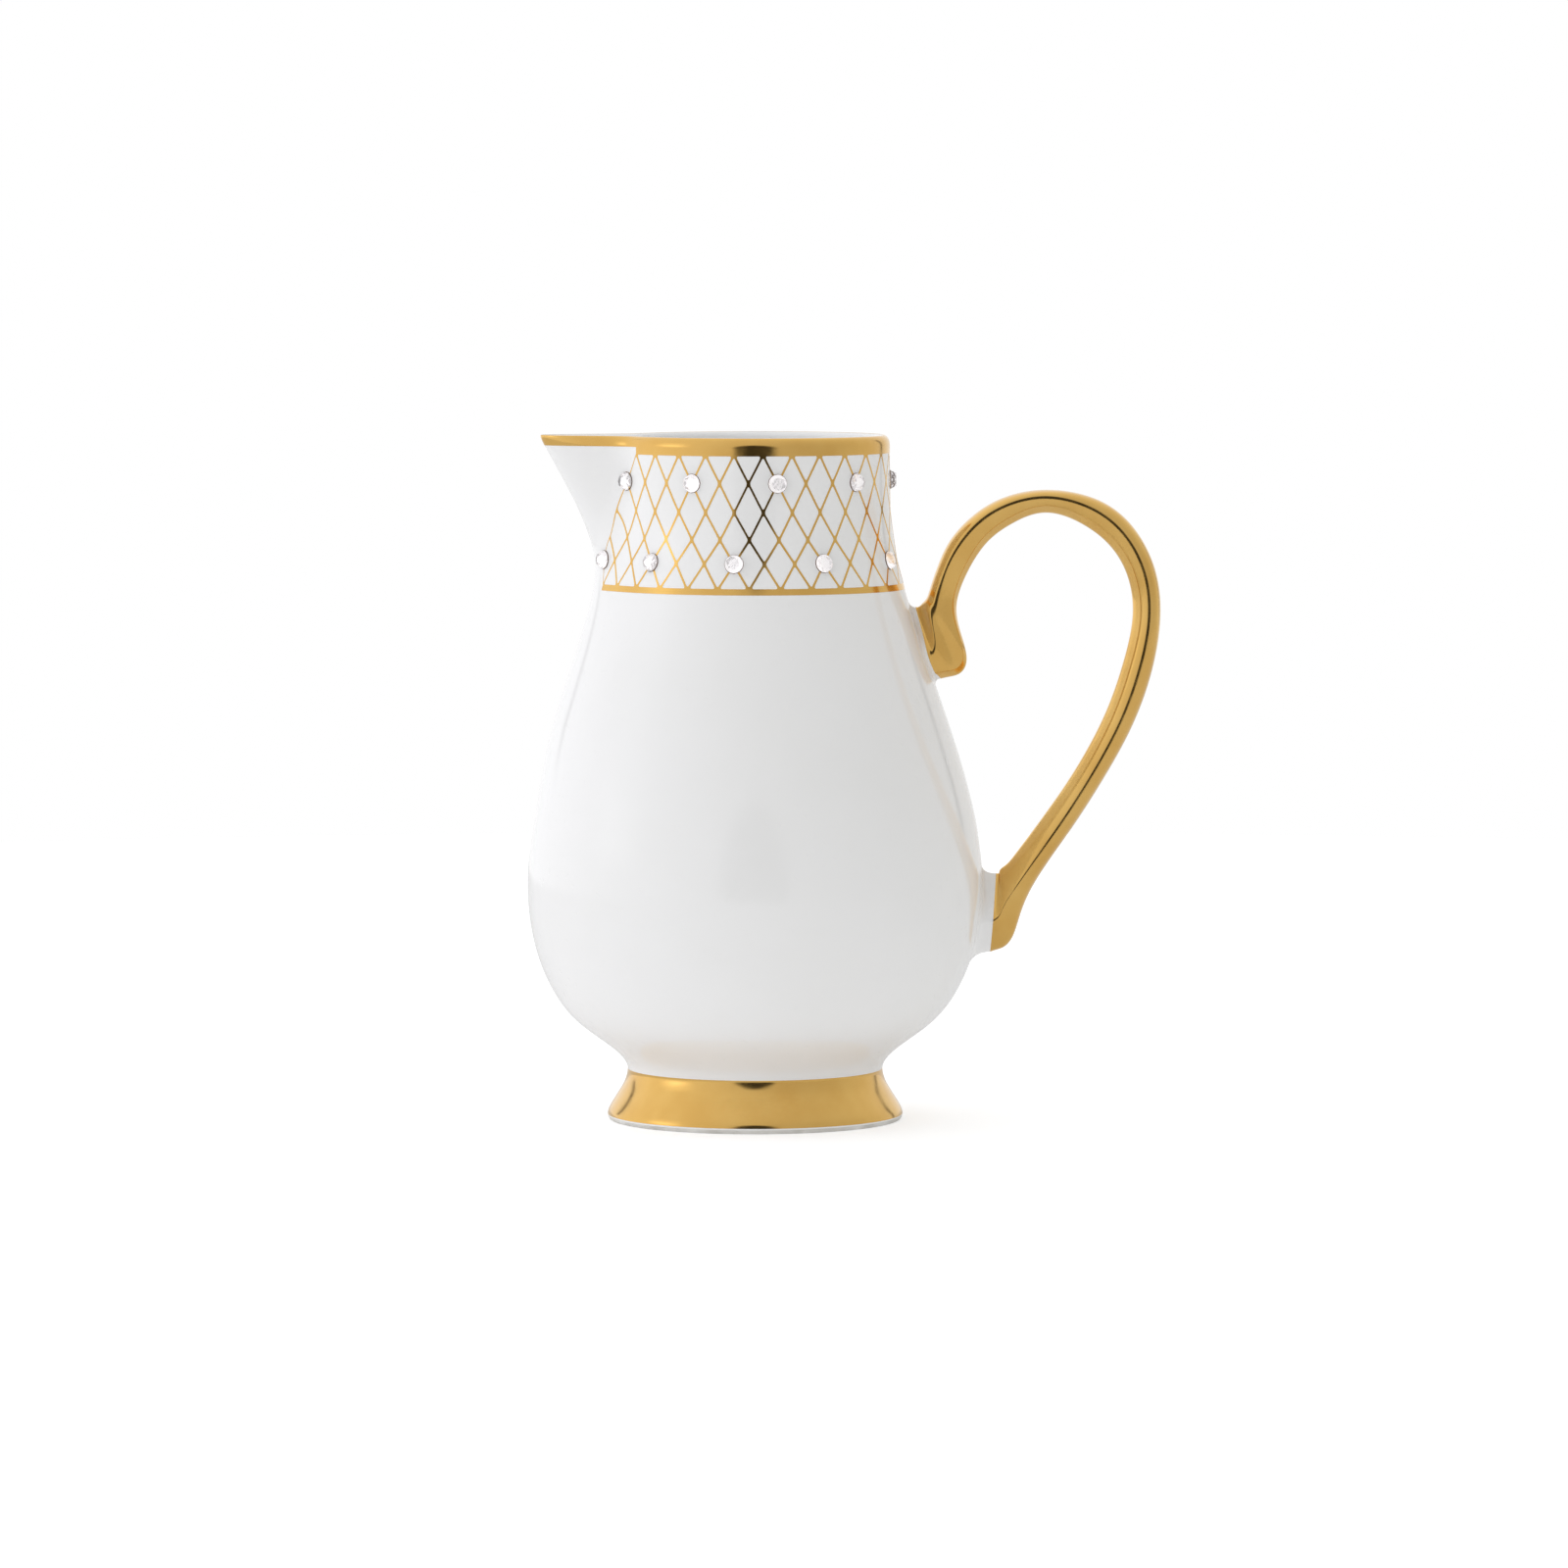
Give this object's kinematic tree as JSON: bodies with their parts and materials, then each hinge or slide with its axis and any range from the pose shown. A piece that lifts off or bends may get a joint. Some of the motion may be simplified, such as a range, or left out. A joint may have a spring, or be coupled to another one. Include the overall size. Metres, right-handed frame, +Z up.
{
  "type": "cream jug",
  "caption": "Pear-shaped porcelain cream jug with a pinched beak spout, gilded loop handle and foot, and a gold lattice band set with crystals.",
  "frame": {"origin": "on the table surface, under the middle of the jug's overall outline", "axes": "+Z up out of the mouth, +X towards the handle, -X towards the spout, +Y to the left of someone looking from the spout's side along +X"},
  "size_m": [0.1016, 0.073, 0.1102],
  "materials": {
    "porcelain": "clear gloss glaze over white porcelain",
    "gold": "polished fired bright gold",
    "crystal": "faceted clear glass with a silvered back"
  },
  "bodies": {
    "root": {"jug_body": "porcelain", "handle": "porcelain", "handle_gilding": "gold", "rim_gilding": "gold", "lattice_decal": "gold", "foot_gilding": "gold", "crystal_upper_01": "crystal", "crystal_upper_02": "crystal", "crystal_upper_03": "crystal", "crystal_upper_04": "crystal", "crystal_upper_05": "crystal", "crystal_upper_06": "crystal", "crystal_upper_07": "crystal", "crystal_upper_08": "crystal", "crystal_upper_09": "crystal", "crystal_lower_01": "crystal", "crystal_lower_02": "crystal", "crystal_lower_03": "crystal", "crystal_lower_04": "crystal", "crystal_lower_05": "crystal", "crystal_lower_06": "crystal", "crystal_lower_07": "crystal", "crystal_lower_08": "crystal", "crystal_lower_09": "crystal", "crystal_lower_10": "crystal"}
  },
  "joints": []
}
